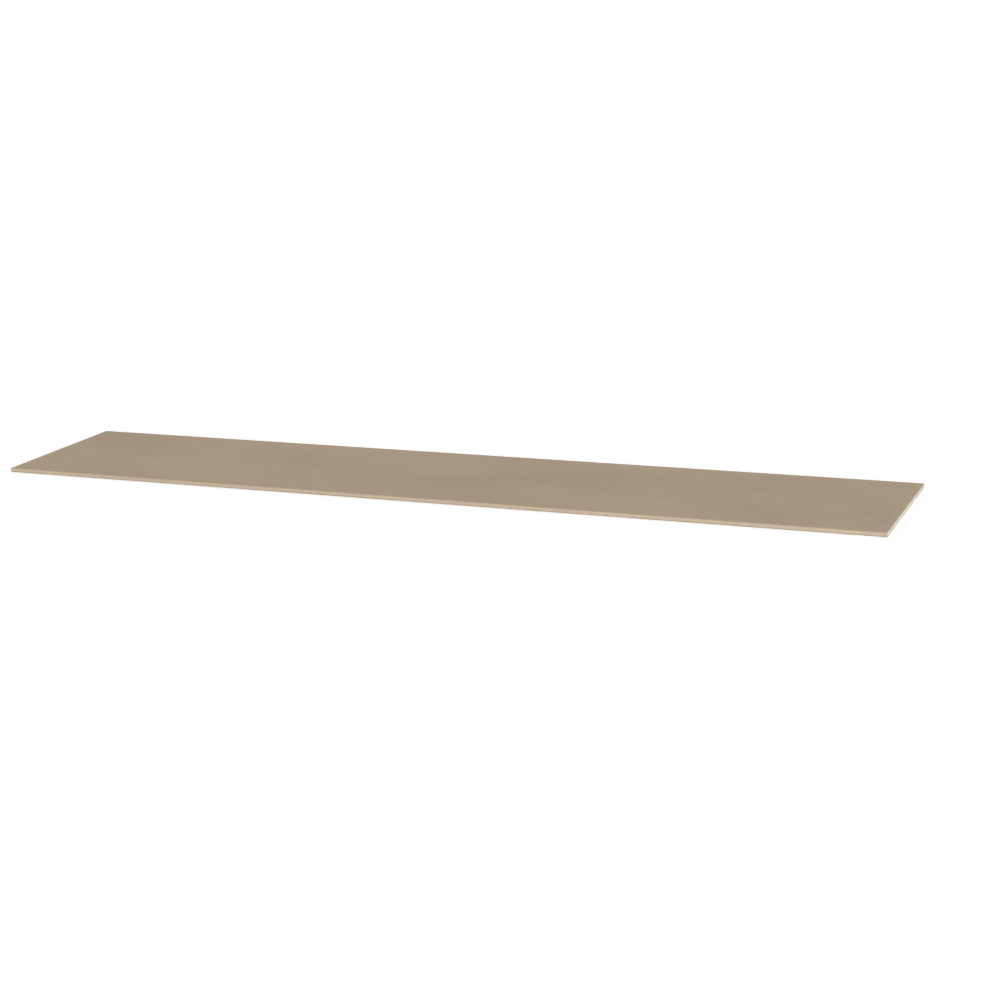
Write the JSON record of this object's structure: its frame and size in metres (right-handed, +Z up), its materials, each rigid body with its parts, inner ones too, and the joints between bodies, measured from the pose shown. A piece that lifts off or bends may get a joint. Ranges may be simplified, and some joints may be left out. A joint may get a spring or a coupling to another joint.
{
  "type": "drywall sheet",
  "caption": "Narrow gypsum board (plaster-base lath): a cream gypsum core in tan paper, with half-round paper-wrapped long edges and square cut ends.",
  "frame": {"origin": "centre of the underside, on the floor that the board lies on", "axes": "+X along the board, +Y across it, +Z up out of the face"},
  "size_m": [2, 0.4, 0.0095],
  "materials": {
    "gypsum": "matte",
    "face_paper": "matte",
    "back_paper": "matte"
  },
  "bodies": {
    "root": {"gypsum_core": "gypsum", "face_paper": "face_paper", "back_paper": "back_paper"}
  },
  "joints": []
}
